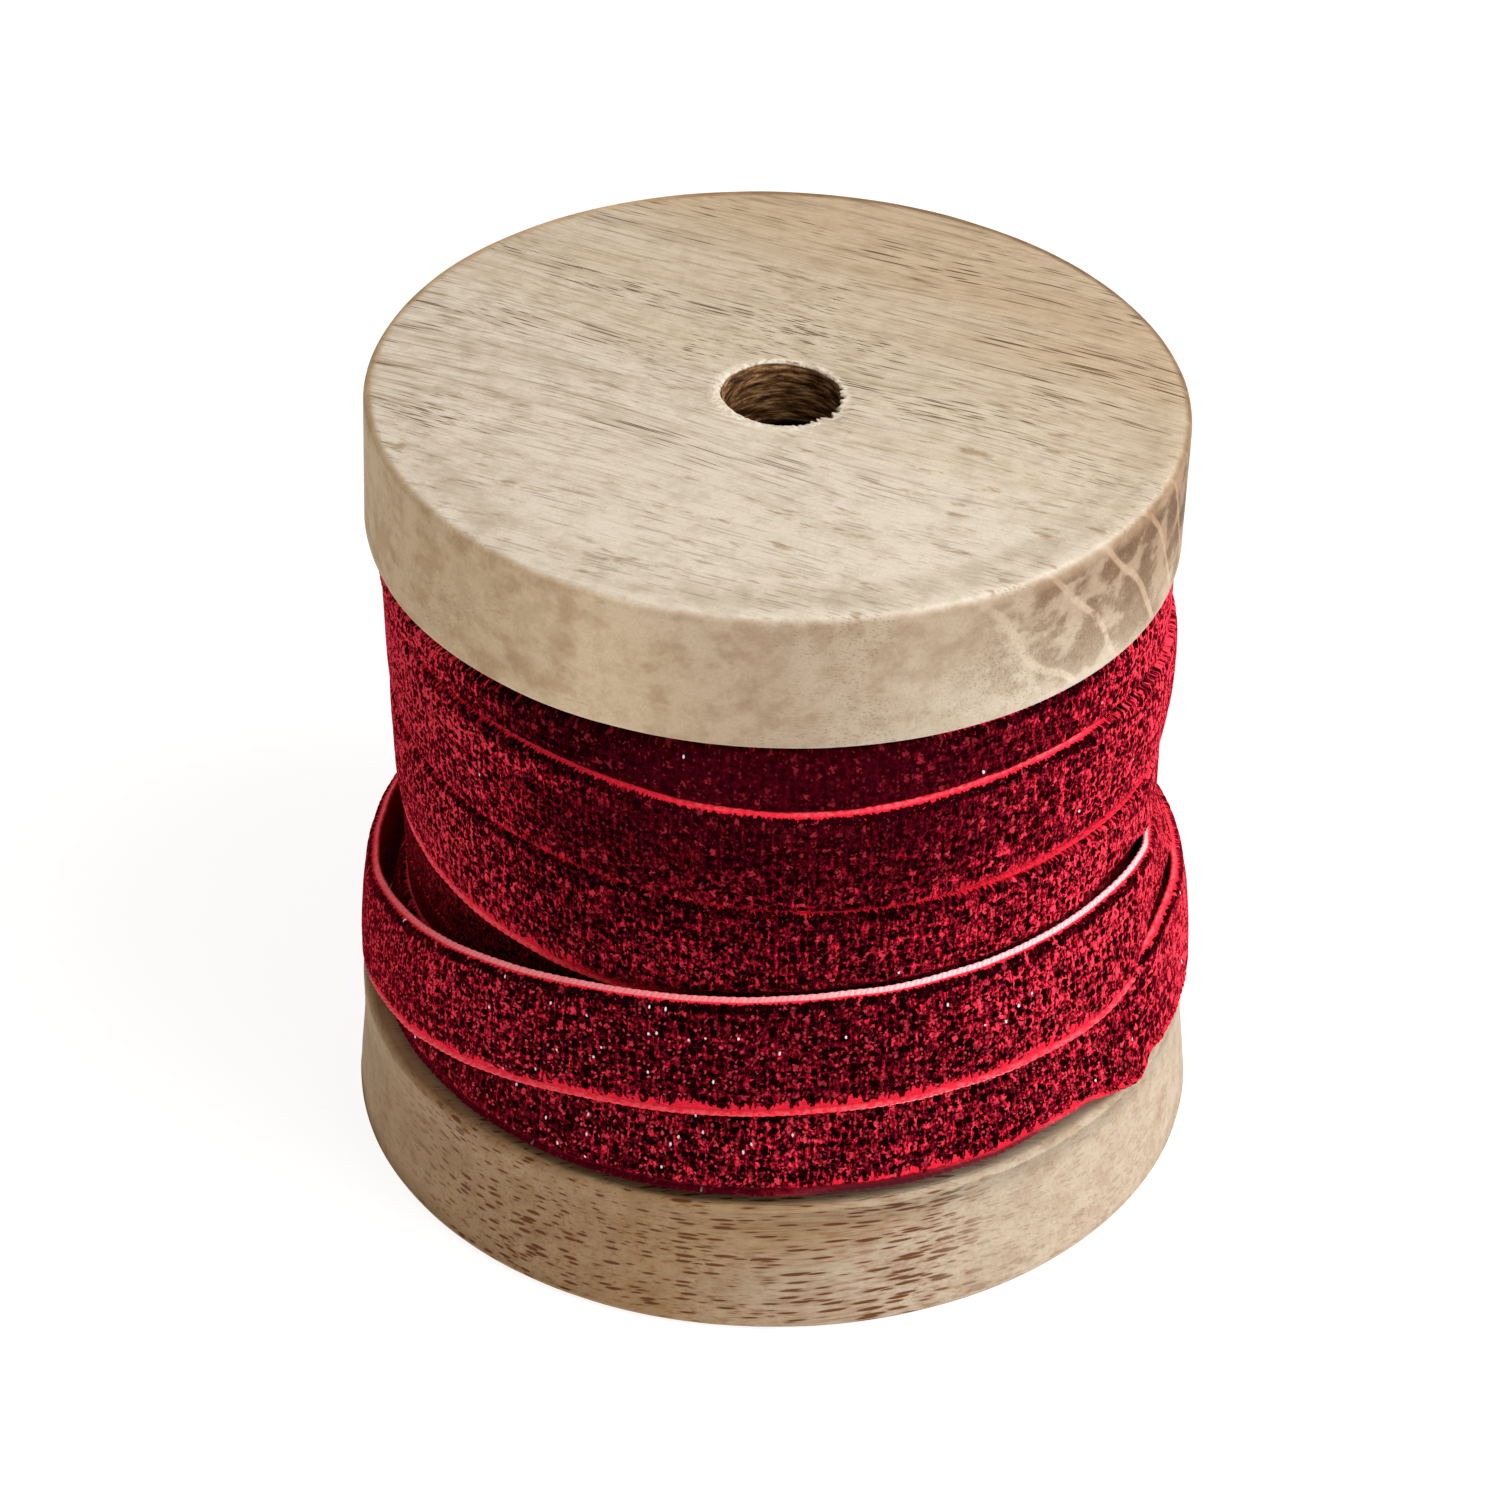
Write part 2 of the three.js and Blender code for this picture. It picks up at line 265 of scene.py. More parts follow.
def ribbon_section():
    """Rows of the ribbon's section: how far down its width, how far in from the face, and its zone.

    The zone is 0 on the pile, 1 on a selvedge and 2 on a cord. The upper edge curls inwards and the lower
    one outwards."""
    back = PILE_HIGH + CLOTH_THICK
    near, far = CORD_RADIUS, RIBBON_WIDTH - CORD_RADIUS
    curled = back - CORD_RADIUS + CURL_IN
    flared = CORD_RADIUS + FLARE_OUT
    top = [(BACK_INSET_TOP, back, 1), (near, curled + CORD_RADIUS, 2), (0, curled, 2),
           (near * 0.6, curled - CORD_RADIUS * 0.8, 2), (near * 1.5, curled - CORD_RADIUS * 0.9, 2),
           (SELVEDGE_TOP * 0.8, PILE_HIGH * 0.9, 1)]
    pile = [(d, 0, 0) for d in np.linspace(SELVEDGE_TOP, RIBBON_WIDTH - SELVEDGE_LOW, PILE_ROWS)]
    low = [(RIBBON_WIDTH - SELVEDGE_LOW * 0.85, PILE_HIGH * 0.85, 1),
           (far - near * 0.6, flared - CORD_RADIUS * 0.9, 2),
           (far + near * 0.6, flared - CORD_RADIUS * 0.6, 2),
           (RIBBON_WIDTH, flared, 2), (RIBBON_WIDTH - BACK_INSET_LOW, back, 1)]
    return np.array(top + pile + low)


def strip(name, table, bare, seed, cover=None, fine=True, lift=NO_LIFT):
    """One wound strip of ribbon along a table, with its bare edges. cover gives where turns lie over it."""
    rng = np.random.default_rng(seed)
    turn_length = np.radians(np.diff(table[:, 0])) * (table[1:, 2] + table[:-1, 2]) / 2
    length = float(turn_length.sum())
    steps = int(length / CELL * (STEPS_A_CELL if fine else 1))
    angles = np.linspace(table[0, 0], table[-1, 0], steps + 1)
    rows = rows_at(table, angles)
    section = ribbon_section()
    down, inward, zone = (column[None, :] for column in section.T)
    z_top, r_top, r_low, belly = (rows[:, k][:, None] for k in (1, 2, 3, 4))
    turn = np.radians(angles)[:, None]
    z_top = np.minimum(z_top, ROLL_HEAD_Z - HEAD_GAP - TILT_SLOPE * r_top * np.cos(turn))
    drop = np.sqrt(RIBBON_WIDTH ** 2 - (r_low - r_top) ** 2)
    along = np.linspace(0, length, steps + 1)[:, None]

    # The lattice of tufts, pushed about a little from cell to cell
    cell_a = along / CELL + 0 * down
    cell_b = down / CELL_DOWN + 0 * along
    warp_a = cell_a + CELL_WANDER * field(rng, cell_a * WANDER_STEP, cell_b * WANDER_STEP)
    warp_b = cell_b + CELL_WANDER * field(rng, cell_a * WANDER_STEP, cell_b * WANDER_STEP)
    off_a = warp_a - np.round(warp_a)
    off_b = warp_b - np.round(warp_b)
    pit = 1 - smooth(*PIT_EDGE, np.hypot(off_a, off_b))

    # How far each point lies in from the face, and how far down the width
    on_pile = (zone < 0.5).astype(float)
    edge = np.minimum(down - SELVEDGE_TOP, RIBBON_WIDTH - SELVEDGE_LOW - down)
    shoulder = (1 - smooth(*SHOULDER, edge)) * on_pile
    unevenness = RIPPLE_HIGH * field(rng, along / RIPPLE_LONG, down / RIPPLE_LONG)
    unevenness = unevenness + SWELL_HIGH * field(rng, along / SWELL_LONG, down / SWELL_WIDE)
    inset = inward + on_pile * (pit * PIT_DEEP + shoulder * SHOULDER_DEEP) - unevenness
    bead = (zone > 1.5) * BEAD_HIGH * np.cos(2 * np.pi * along / CELL)
    inset = inset - bead * np.sign(PILE_HIGH + CLOTH_THICK / 2 - inward)
    width = down + (zone < 1.5) * TUFT_SHIFT * field(rng, cell_a, cell_b) * on_pile
    width = width + EDGE_SHIFT * field(rng, along / EDGE_SHIFT_LONG, 0 * down)

    share = width / RIBBON_WIDTH
    z = z_top - share * drop + np.interp(angles, *zip(*lift))[:, None] * share ** 3
    r = r_top + (r_low - r_top) * share + belly * 4 * share * (1 - share)
    if cover is not None:
        inset = inset + TUCK_DEEP * cover(angles, z)
    r = r - inset
    columns = section.shape[0]
    quads = grid_quads(steps + 1, columns, False)
    caps = [range(columns), [steps * columns + j for j in reversed(range(columns))]]
    shown = [np.interp(angles, *zip(*edge))[:, None] for edge in bare]
    shown = np.where(down < RIBBON_WIDTH / 2, shown[0], shown[1])
    weave = as_points(warp_a, warp_b, zone * shown)
    place = as_points(along, down, shown)
    piece = mesh_object(name, as_points(r * np.cos(turn), r * np.sin(turn), z), quads, caps,
                        {"weave": weave, "place": place})
    bare_faces = (weave[quads, 2].mean(axis=1) > BARE_FROM).astype(int).tolist()
    piece.data.polygons.foreach_set("material_index", bare_faces + [0] * len(caps))
    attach(piece, "root")
    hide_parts("ribbon_roll")
    return piece, length


def top_edge(table, angles):
    """The height of a strip's top edge at each angle, or at its end past that."""
    return rows_at(table, np.clip(angles, table[0, 0], table[-1, 0]))[:, 1][:, None]


def below(z, edge, lap):
    """1 well below an edge, 0 above it."""
    return 1 - smooth(*lap, z - edge)


def upper_cover(angles, z):
    """Where the next turn, or the lifted slack turn, laps over this one: below its top edge."""
    later = angles + TURN
    known = (later <= UPPER_WINDING[-1, 0])[:, None]
    lapped = below(z, top_edge(UPPER_WINDING, later), LAP_NEXT) * known
    slack_angle = angles - TURN
    beside = smooth(*SLACK_BESIDE_UPPER, slack_angle)[:, None]
    return np.maximum(lapped, below(z, top_edge(SLACK_WINDING, slack_angle), LAP_SLACK) * beside)


def slack_cover(angles, z):
    """Where the lifted turn lies over the lowest one, and where it runs under it from the right side on."""
    later = angles + TURN
    known = smooth(*LIFTED_FROM, later) * (1 - smooth(*LIFTED_TO, later))
    low_edge = top_edge(SLACK_WINDING, later) - RIBBON_WIDTH
    lifted = smooth(*LAP_LIFTED, z - low_edge) * known[:, None]
    beside = smooth(*TUCKED_FROM, angles)[:, None]
    return np.maximum(lifted, below(z, top_edge(SLACK_WINDING, angles - TURN), LAP_SLACK) * beside)


def inner_layers():
    """The layers round the barrel that the outer turns lie on, with their grooves on both faces."""
    edges = np.arange(INNER_BORE_RADIUS + INNER_LAYER, INNER_RADIUS, INNER_LAYER)
    foot = [(INNER_BORE_RADIUS, ROLL_FOOT_Z)]
    for radius in edges:
        foot += [(radius - GROOVE_IN, ROLL_FOOT_Z), (radius, ROLL_FOOT_Z + GROOVE_DEEP),
                 (radius + GROOVE_OUT, ROLL_FOOT_Z)]
    foot += [(INNER_RADIUS, ROLL_FOOT_Z)]
    head = [(r, ROLL_FOOT_Z + ROLL_HEAD_Z - z) for r, z in reversed(foot)]
    profile = np.array(foot + head)
    turn = np.radians(np.arange(INNER_STEPS) * TURN / INNER_STEPS)[:, None]
    r, z = profile[:, 0][None, :], profile[:, 1][None, :]
    on_head = z > (ROLL_FOOT_Z + ROLL_HEAD_Z) / 2
    z = z - on_head * TILT_SLOPE * r * np.cos(turn)
    place = as_points(turn * r, z - ROLL_FOOT_Z, 0)
    weave = place / (CELL, CELL_DOWN, 1)
    piece = mesh_object("ribbon_inner_layers", as_points(r * np.cos(turn), r * np.sin(turn), z),
                        grid_quads(INNER_STEPS, len(profile), True)[:, ::-1],
                        (), {"weave": weave, "place": place})
    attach(piece, "root")
    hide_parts("ribbon_roll")
    return piece


# The spool

def eased(corner_r, corner_z, radius, from_deg, to_deg, steps=5):
    """Points round a softened edge whose centre is one radius in from the corner."""
    turn = [math.radians(from_deg + (to_deg - from_deg) * k / steps) for k in range(steps + 1)]
    return [(corner_r + radius * math.cos(a), corner_z + radius * math.sin(a)) for a in turn]


def wall(start, end, steps):
    """Points from start up to but without end."""
    return [tuple(s + (e - s) * k / steps for s, e in zip(start, end)) for k in range(steps)]


def torn_rim(rng, r, z, turn, rim_z):
    """The bore's rim at rim_z, splintered to the right and worn round at the back left."""
    lap_a, lap_b = LAP * np.sin(turn), LAP * np.cos(turn)
    near = np.exp(-((z - rim_z) / TORN_DEEP) ** 2)
    near = near * (1 - smooth(BORE_RADIUS + TORN_WIDE[0], BORE_RADIUS + TORN_WIDE[1], r))
    torn = smooth(0.4, 0.95, np.cos(turn + 0.5)) * TORN_MORE + TORN_LEAST
    splinters = np.abs(field(rng, lap_a * 5, lap_b * 5))
    worn = WORN_FAR * np.clip(np.cos(turn - np.radians(WORN_DEG)), 0, 1)
    r = r + near * (worn - torn * splinters + 0.1 * field(rng, lap_a, lap_b))
    z = z - near * torn * np.abs(field(rng, lap_a * 3, lap_b * 3)) * 0.5
    return r, z


def turned_piece(name, profile, seed, bore_centre=(0, 0), torn_rim_z=None):
    """A turned piece of wood, a little out of round and uneven, with a torn rim round its bore if asked."""
    rng = np.random.default_rng(seed)
    turn = np.radians(np.arange(TURNED_STEPS) * TURN / TURNED_STEPS)[:, None]
    r, z = (np.array(profile)[:, k][None, :] for k in (0, 1))
    lap_a, lap_b = LAP * np.sin(turn), LAP * np.cos(turn)
    outer = smooth(BORE_RADIUS + 2, BORE_RADIUS + 6, r)
    wave = SLOW_WAVE * field(rng, lap_a, lap_b)
    wave = wave + QUICK_WAVE * field(rng, lap_a * 3, lap_b * 3 + z * 0.2)
    r = r + wave * outer
    rough = FACE_WAVE * field(rng, r * np.cos(turn) * 0.3, r * np.sin(turn) * 0.3)
    z = z + rough * smooth(0, 0.5, z)
    if torn_rim_z is not None:
        r, z = torn_rim(rng, r, z, turn, torn_rim_z)
    shift = 1 - smooth(BORE_RADIUS + 0.6, BASE_TOP_RADIUS * 0.8, r)
    x = r * np.cos(turn) + bore_centre[0] * shift
    y = r * np.sin(turn) + bore_centre[1] * shift
    piece = mesh_object(name, as_points(x, y, z), grid_quads(TURNED_STEPS, r.shape[1], True)[:, ::-1])
    return piece


def spool_base():
    """The lower disc and the barrel, with enough rows in the bore for its uneven wall."""
    soft = BASE_EDGE_SOFT
    inside = BASE_LOW_RADIUS - soft
    upper = BASE_TOP_RADIUS - soft
    barrel_top = ROLL_HEAD_Z - 0.5
    profile = wall((BORE_RADIUS + BORE_SOFT, 0), (inside, 0), 8)
    profile += eased(inside, soft, soft, -90, 0)
    profile += [(radius, height) for height, radius in BASE_SIDE]
    profile += eased(upper, BASE_THICK - soft, soft, 0, 90)
    profile += wall((upper, BASE_THICK), (BARREL_RADIUS, BASE_THICK), 6)[1:]
    profile += [(BARREL_RADIUS, BASE_THICK), (BARREL_RADIUS, barrel_top)]
    profile += wall((BORE_RADIUS, barrel_top), (BORE_RADIUS, BORE_SOFT), 60)[1:]
    profile += [(BORE_RADIUS, BORE_SOFT)]
    piece = turned_piece("turned_base", profile, seed=11)
    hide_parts("spool_base")
    return piece


def spool_top():
    """The upper disc, made level and then tilted to where it sits."""
    soft = TOP_EDGE_SOFT
    side = TOP_RADIUS - soft
    outer, *rim = ((BORE_RADIUS + out, TOP_THICK - down) for out, down in TOP_RIM)
    profile = wall((BORE_RADIUS + BORE_SOFT, 0), (side, 0), 8)
    profile += eased(side, soft, soft, -90, 0)
    profile += wall((TOP_RADIUS, soft), (TOP_RADIUS, TOP_THICK - soft), 12)[1:]
    profile += eased(side, TOP_THICK - soft, soft, 0, 90)
    profile += wall((side, TOP_THICK), outer, 22)[1:]
    profile += wall(outer, rim[0], 5)
    profile += rim[:-1]
    profile += wall(rim[-1], (BORE_RADIUS, BORE_SOFT), 30)
    profile += [(BORE_RADIUS, BORE_SOFT)]
    piece = turned_piece("turned_top", profile, seed=12, bore_centre=TOP_BORE, torn_rim_z=TOP_THICK)
    tilt = math.radians(TOP_TILT_DEG)
    co = np.array([v.co for v in piece.data.vertices])
    x, z = co[:, 0].copy(), co[:, 2].copy()
    co[:, 0] = x * math.cos(tilt) + z * math.sin(tilt)
    co[:, 2] = z * math.cos(tilt) - x * math.sin(tilt) + TOP_FOOT_Z * MM
    piece.data.vertices.foreach_set("co", co.ravel())
    piece.data.update()
    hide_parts("spool_top")
    return piece


# Materials

def rgb(red, green, blue):
    """A screen colour from 0 to 255 as the linear colour that the nodes take."""
    def linear(c):
        c /= 255
        return c / 12.92 if c <= 0.04045 else ((c + 0.055) / 1.055) ** 2.4
    return tuple(linear(c) for c in (red, green, blue))


class Nodes:
    """A new material and its nodes, with a short call for each kind. A value is a number or a socket."""

    def __init__(self, name):
        self.material = bpy.data.materials.new(name)
        self.material.use_nodes = True
        self.tree = self.material.node_tree
        self.shader = self.tree.nodes["Principled BSDF"].inputs

    def put(self, value, socket):
        """Give a socket its value, or link another one to it."""
        if isinstance(value, bpy.types.NodeSocket):
            self.tree.links.new(value, socket)
        else:
            socket.default_value = value

    def add(self, kind, settings=None, inputs=None):
        """A new node with its settings and inputs."""
        made = self.tree.nodes.new("ShaderNode" + kind)
        for key, value in (settings or {}).items():
            setattr(made, key, value)
        for key, value in (inputs or {}).items():
            self.put(value, made.inputs[key])
        return made

    def calc(self, operation, *values, clamp=False):
        """The result of a Math node."""
        settings = {"operation": operation, "use_clamp": clamp}
        return self.add("Math", settings, dict(enumerate(values))).outputs[0]

    def plus(self, first, *others):
        for other in others:
            first = self.calc("ADD", first, other)
        return first

    def times(self, first, *others):
        for other in others:
            first = self.calc("MULTIPLY", first, other)
        return first

    def minus(self, first, second, clamp=False):
        return self.calc("SUBTRACT", first, second, clamp=clamp)

    def between(self, value, low, high, to_low=0.0, to_high=1.0):
        """A value moved softly from one range to another, and not past it. low may be above high."""
        ends = {"Value": value, "From Min": low, "From Max": high, "To Min": to_low, "To Max": to_high}
        return self.add("MapRange", {"interpolation_type": "SMOOTHSTEP"}, ends).outputs[0]

    def patch(self, at, bounds):
        """1 inside all the bounds of a patch and 0, or what a bound says, outside."""
        return self.times(*(self.between(at[name], *bound) for name, *bound in bounds))

    def by_place(self, at, patches):
        """1 with the amount of each patch added inside it."""
        return self.plus(1.0, *(self.times(self.patch(at, bounds), amount) for amount, *bounds in patches))

    def vector(self, operation, *values, output=0):
        """The result of a Vector Math node."""
        return self.add("VectorMath", {"operation": operation}, dict(enumerate(values))).outputs[output]

    def parts(self, vector):
        return self.add("SeparateXYZ", None, {0: vector}).outputs

    def attribute(self, name):
        return self.add("Attribute", {"attribute_name": name}).outputs["Vector"]

    def millimetres(self):
        """The place on the piece."""
        return self.vector("MULTIPLY", self.add("TexCoord").outputs["Object"], (1 / MM,) * 3)

    def noise(self, vector, waves, detail, roughness=0.5, dimensions="3D"):
        """The outputs of soft noise, with its waves in a millimetre for each direction."""
        ends = {"Vector": self.vector("MULTIPLY", vector, waves), "Scale": 1.0, "Detail": detail,
                "Roughness": roughness}
        return self.add("TexNoise", {"noise_dimensions": dimensions}, ends).outputs

    def cloud(self, vector, waves, detail, roughness=0.5, dimensions="3D"):
        return self.noise(vector, waves, detail, roughness, dimensions)["Fac"]

    def cells(self, vector, randomness=1.0, dimensions="2D"):
        """Scattered cells of size 1: how far off the nearest one's middle is, and that one's own chance."""
        ends = {"Vector": vector, "Scale": 1.0, "Randomness": randomness}
        made = self.add("TexVoronoi", {"voronoi_dimensions": dimensions}, ends).outputs
        return made["Distance"], self.add("SeparateColor", None, {0: made["Color"]}).outputs[0]

    def mixed(self, factor, first, second, blend="MIX"):
        """One colour turned into another by a factor."""
        made = self.add("Mix", {"data_type": "RGBA", "blend_type": blend})
        self.put(factor, made.inputs[0])
        for index, colour in ((6, first), (7, second)):
            self.put((*colour, 1) if isinstance(colour, tuple) else colour, made.inputs[index])
        return made.outputs[2]

    def tinted(self, factor, colour, tint):
        """A colour multiplied with a tint by a factor."""
        return self.mixed(factor, colour, tint, "MULTIPLY")

    def ramp(self, factor, stops):
        made = self.add("ValToRGB", None, {"Fac": factor})
        elements = made.color_ramp.elements
        while len(elements) < len(stops):
            elements.new(0.5)
        for element, (place, colour) in zip(elements, stops):
            element.position = place
            element.color = (*colour, 1)
        return made.outputs["Color"]

    def uniform(self, settings):
        """The material with its uniform settings."""
        for key, value in settings.items():
            self.shader[key].default_value = value
        return self.material

    def finish(self, colour, relief, depth, strength, settings):
        """The material with its colour, its relief of some millimetres and its uniform settings."""
        self.put(colour, self.shader["Base Color"])
        bump = self.add("Bump", None, {"Strength": strength, "Distance": depth * MM, "Height": relief})
        self.put(bump.outputs["Normal"], self.shader["Normal"])
        return self.uniform(settings)


# Velvet. A patch is a list of bounds, each with what it goes by, such as x, y or z in millimetres, where it
# starts, where it is full and, if that isn't 0, the share outside.

# Painted sheen and shade on the pile, an amount and a patch each: lighter at both sides, most at the far
# right where the lamps graze it, and in a thin band high at the left, and darker at the front, most in the
# top row in the upper disc's shade
PILE_PAINTED_LIGHT = (
    (0.85, ("x", 8, 30), ("z", 14, 34, 0.35)),
    (0.75, ("x", -14, -31), ("z", 14, 34, 0.35)),
    (0.6, ("x", 27, 31)),
    (0.55, ("x", -6, -17), ("z", 44.2, 45.4), ("z", 46.9, 45.9)),
    (-0.4, ("z", 28, 50), ("y", -10, -24)),
    (-0.12, ("z", 45, 47), ("y", -10, -24)),
    (-0.2, ("x", -14, -5), ("x", 13, 4), ("z", 31, 27), ("z", 18, 21, -0.5)),
    (-0.35, ("x", -12, -20), ("z", 17.5, 15)),
)
# Where the pile's contrast is lower, in the two top rows at the front, or higher, at the upper left
CONTRAST = (
    (-0.65, ("x", -18, -8), ("x", 18, 8), ("z", 37, 48)),
    (1.0, ("x", -14, -26), ("z", 30, 36)),
)
# The net of threads: each cloud's waves in a millimetre, its detail and roughness, and the range that counts
# with the tones that it gives
NET = {
    "grain": ((4.0, 4.0, 0), 2, 0.6, (0.28, 0.72, -0.2, 0.2)),
    "blot": ((1.1, 1.1, 0), 2, 0.55, (0.3, 0.7, -0.12, 0.14)),
    "fibre": ((3.6, 0.8, 0), 2, 0.6, (0.4, 0.7, -0.12, 0.26)),
    "broad": ((0.1, 0.16, 0), 2, 0.5, (0.3, 0.7, 0.29, 0.41)),
}
MEAN_TONE = 0.28
PILE_TONES = (
    (0.0, (0.004, 0.0, 0.0005)), (0.16, (0.015, 0.0003, 0.002)), (0.36, (0.09, 0.0015, 0.007)),
    (0.58, (0.34, 0.007, 0.022)), (0.8, (0.85, 0.03, 0.06)), (1.0, (1.0, 0.07, 0.11)),
)
# The dark pits between the tufts: the least and the greatest size in a cell, the soft edge, how far they
# stray and how ragged they are
PIT_SIZE = (0.23, 0.45)
PIT_SOFT = 0.06
JITTER = 0.45
RAGGED = 0.7
# Painted highlights where the pile's tufts catch the light: red flecks and tips, and white sparks, thickest
# in one patch
FLECK_HIGHLIGHT_RED = (1.0, 0.06, 0.1)
TIP_HIGHLIGHT_RED = (1.0, 0.08, 0.12)
SPARK_HIGHLIGHT_WHITE = (1, 0.85, 0.85)
MANY_SPARK_HIGHLIGHTS = (("x", -24, -16), ("x", 6, -2), ("z", 31, 29))
# The turns under the slack one lie in its shade
SLACK_SHADE = (("radius", 28.8, 28.5), ("z", 37, 32))
DEEP_SHADE = (0.002, 0, 0.0002)
# The pile ends in teeth beside a selvedge, and in a comb of long ones on a low edge
TEETH_FROM_MIDDLE = (3.7, 4.2)
TEETH_LONG = 2.4
COMB = (("comb", 3.9, 4.05), ("down", 7.5, 8.5), ("shown", 0.4, 0.6))
SELVEDGE_REDS = ((0.7, 0.012, 0.035), (1.0, 0.03, 0.06))
CORD_REDS = ((1.0, 0.02, 0.05), (1.0, 0.09, 0.12))
# The cord has a painted pink highlight on the slack turn's upper edge, more towards the right, and in beads
# on its lower edge at the right. Its slope is the height over a line that rises to the right.
CORD_HIGHLIGHT_PINK = (1.0, 0.62, 0.64)
HIGHLIGHT_SLOPE = -0.06
HIGHLIGHT_UPPER = (("down", 6, 4), ("slope", 25, 26.5), ("z", 33, 31.5))
HIGHLIGHT_LOWER = (("x", 3, 8), ("x", 20, 16), ("z", 17, 18), ("z", 22, 21), ("down", 9.82, 9.94))
# The cord's twist, in radians a millimetre
TWIST_ALONG, TWIST_DOWN = 15, 12
# It is dark where it lies on the lower disc
CORD_FOOT = (("z", 13.8, 13.3),)
CORD_IN_SHADE = (0.05, 0.001, 0.006)
# Painted shade on the ribbon's lowest edge where it meets the lower disc, at the front and left
RIBBON_FOOT = (("z", 14, 13.6), ("x", 16, 10), ("down", 9.1, 9.3))
FOOT_PAINTED_SHADE = (0.06, 0.001, 0.007)


def velvet_values(nodes):
    """What the velvet's colours go by.

    The mesh gives the place along and down the ribbon, how bare its edge is, and the weave with the zone: 0
    on the pile, 1 on a bare selvedge and 2 on a bare cord."""
    place, weave = nodes.attribute("place"), nodes.attribute("weave")
    along, down, shown = nodes.parts(place)
    x, y, z = nodes.parts(nodes.millimetres())
    from_axis = nodes.add("CombineXYZ", None, {0: x, 1: y}).outputs[0]
    from_middle = nodes.calc("ABSOLUTE", nodes.minus(down, RIBBON_WIDTH / 2))
    comb = nodes.minus(nodes.cloud(place, (2.6, 0.5, 0), 1, 0.5, "2D"), 0.5)
    at = {
        "x": x, "y": y, "z": z, "place": place, "along": along, "down": down, "shown": shown,
        "weave": weave, "zone": nodes.parts(weave)[2], "from_middle": from_middle,
        "radius": nodes.vector("LENGTH", from_axis, output="Value"),
        "ragged": nodes.noise(place, (2.6, 2.6, 0), 2, 0.5, "2D")["Color"],
        # Painted shadow in a row along the pile's edge, beside a bare selvedge
        "edge_shadow": nodes.times(nodes.between(from_middle, 3.95, 4.25), shown),
        "comb": nodes.plus(from_middle, nodes.times(comb, TEETH_LONG)),
        "slope": nodes.plus(z, nodes.times(x, HIGHLIGHT_SLOPE)),
    }
    for name, (waves, detail, roughness, _tones) in NET.items():
        at[name] = nodes.cloud(place, waves, detail, roughness, "2D")
    at["brushed"] = nodes.by_place(at, PILE_PAINTED_LIGHT)
    return at


def pile_tone(nodes, at):
    """How light the pile is: an uneven net of threads with pits on a loose lattice, over the mesh's own. It
    holds painted sheen and shade, and painted shadow along a bare edge.
    """
    centre = (JITTER - RAGGED) / 2
    lattice = nodes.vector("MULTIPLY_ADD", at["ragged"], (RAGGED, RAGGED, 0), (centre, centre, 0))
    distance, chance = nodes.cells(nodes.vector("ADD", lattice, at["weave"]), JITTER)
    size = nodes.between(chance, 0, 1, *PIT_SIZE)
    pit = nodes.between(nodes.minus(distance, size), -PIT_SOFT, PIT_SOFT, 1, 0)
    # The pits fade towards the far right: painted sheen where the lamps graze the pile
    pit = nodes.times(pit, nodes.between(at["x"], 25, 32, 0.97, 0.5))
    net = nodes.plus(*(nodes.between(at[name], *tones) for name, (*_cloud, tones) in NET.items()))
    open_pile = nodes.times(nodes.minus(1.0, pit), nodes.between(at["edge_shadow"], 0, 1, 1, 0.3), at["brushed"])
    tone = nodes.minus(nodes.times(net, open_pile), MEAN_TONE)
    return nodes.plus(nodes.times(tone, nodes.by_place(at, CONTRAST)), MEAN_TONE)


def lit_tufts(nodes, at, pile):
    """The pile's colour with painted highlights where tufts catch the light: broad flecks, fine tips and a
    few white sparks.
    """
    frayed = nodes.vector("MULTIPLY_ADD", at["place"], (1.1, 0.9, 0), at["ragged"])
    distance, chance = nodes.cells(frayed)
    fleck = nodes.times(nodes.between(distance, 0.08, 0.28, 1, 0), nodes.between(chance, 0.5, 0.95),
                        nodes.between(at["brushed"], 0.6, 1.2, 0.25, 1))
    pile = nodes.mixed(fleck, pile, FLECK_HIGHLIGHT_RED)

    frayed = nodes.vector("MULTIPLY_ADD", at["place"], (2.7, 2.3, 0), at["ragged"])
    distance, chance = nodes.cells(frayed)
    tip = nodes.times(nodes.between(distance, 0.12, 0.36, 1, 0), nodes.between(chance, 0.6, 0.9),
                      nodes.between(at["z"], 38, 24, 0.2, 0.85), nodes.between(at["x"], -12, 4, 1, 0.6),
                      nodes.between(at["edge_shadow"], 0, 1, 1, 0.2))
    pile = nodes.mixed(tip, pile, TIP_HIGHLIGHT_RED)

    distance, chance = nodes.cells(nodes.vector("MULTIPLY", at["place"], (1.7, 1.0, 0)))
    seldom = nodes.between(at["z"], 30, 34, 0.99, 0.996)
    limit = nodes.between(nodes.patch(at, MANY_SPARK_HIGHLIGHTS), 0, 1, seldom, 0.945)
    lit = nodes.calc("GREATER_THAN", chance, limit)
    return nodes.mixed(nodes.times(nodes.between(distance, 0.1, 0.18, 1, 0), lit), pile, SPARK_HIGHLIGHT_WHITE)


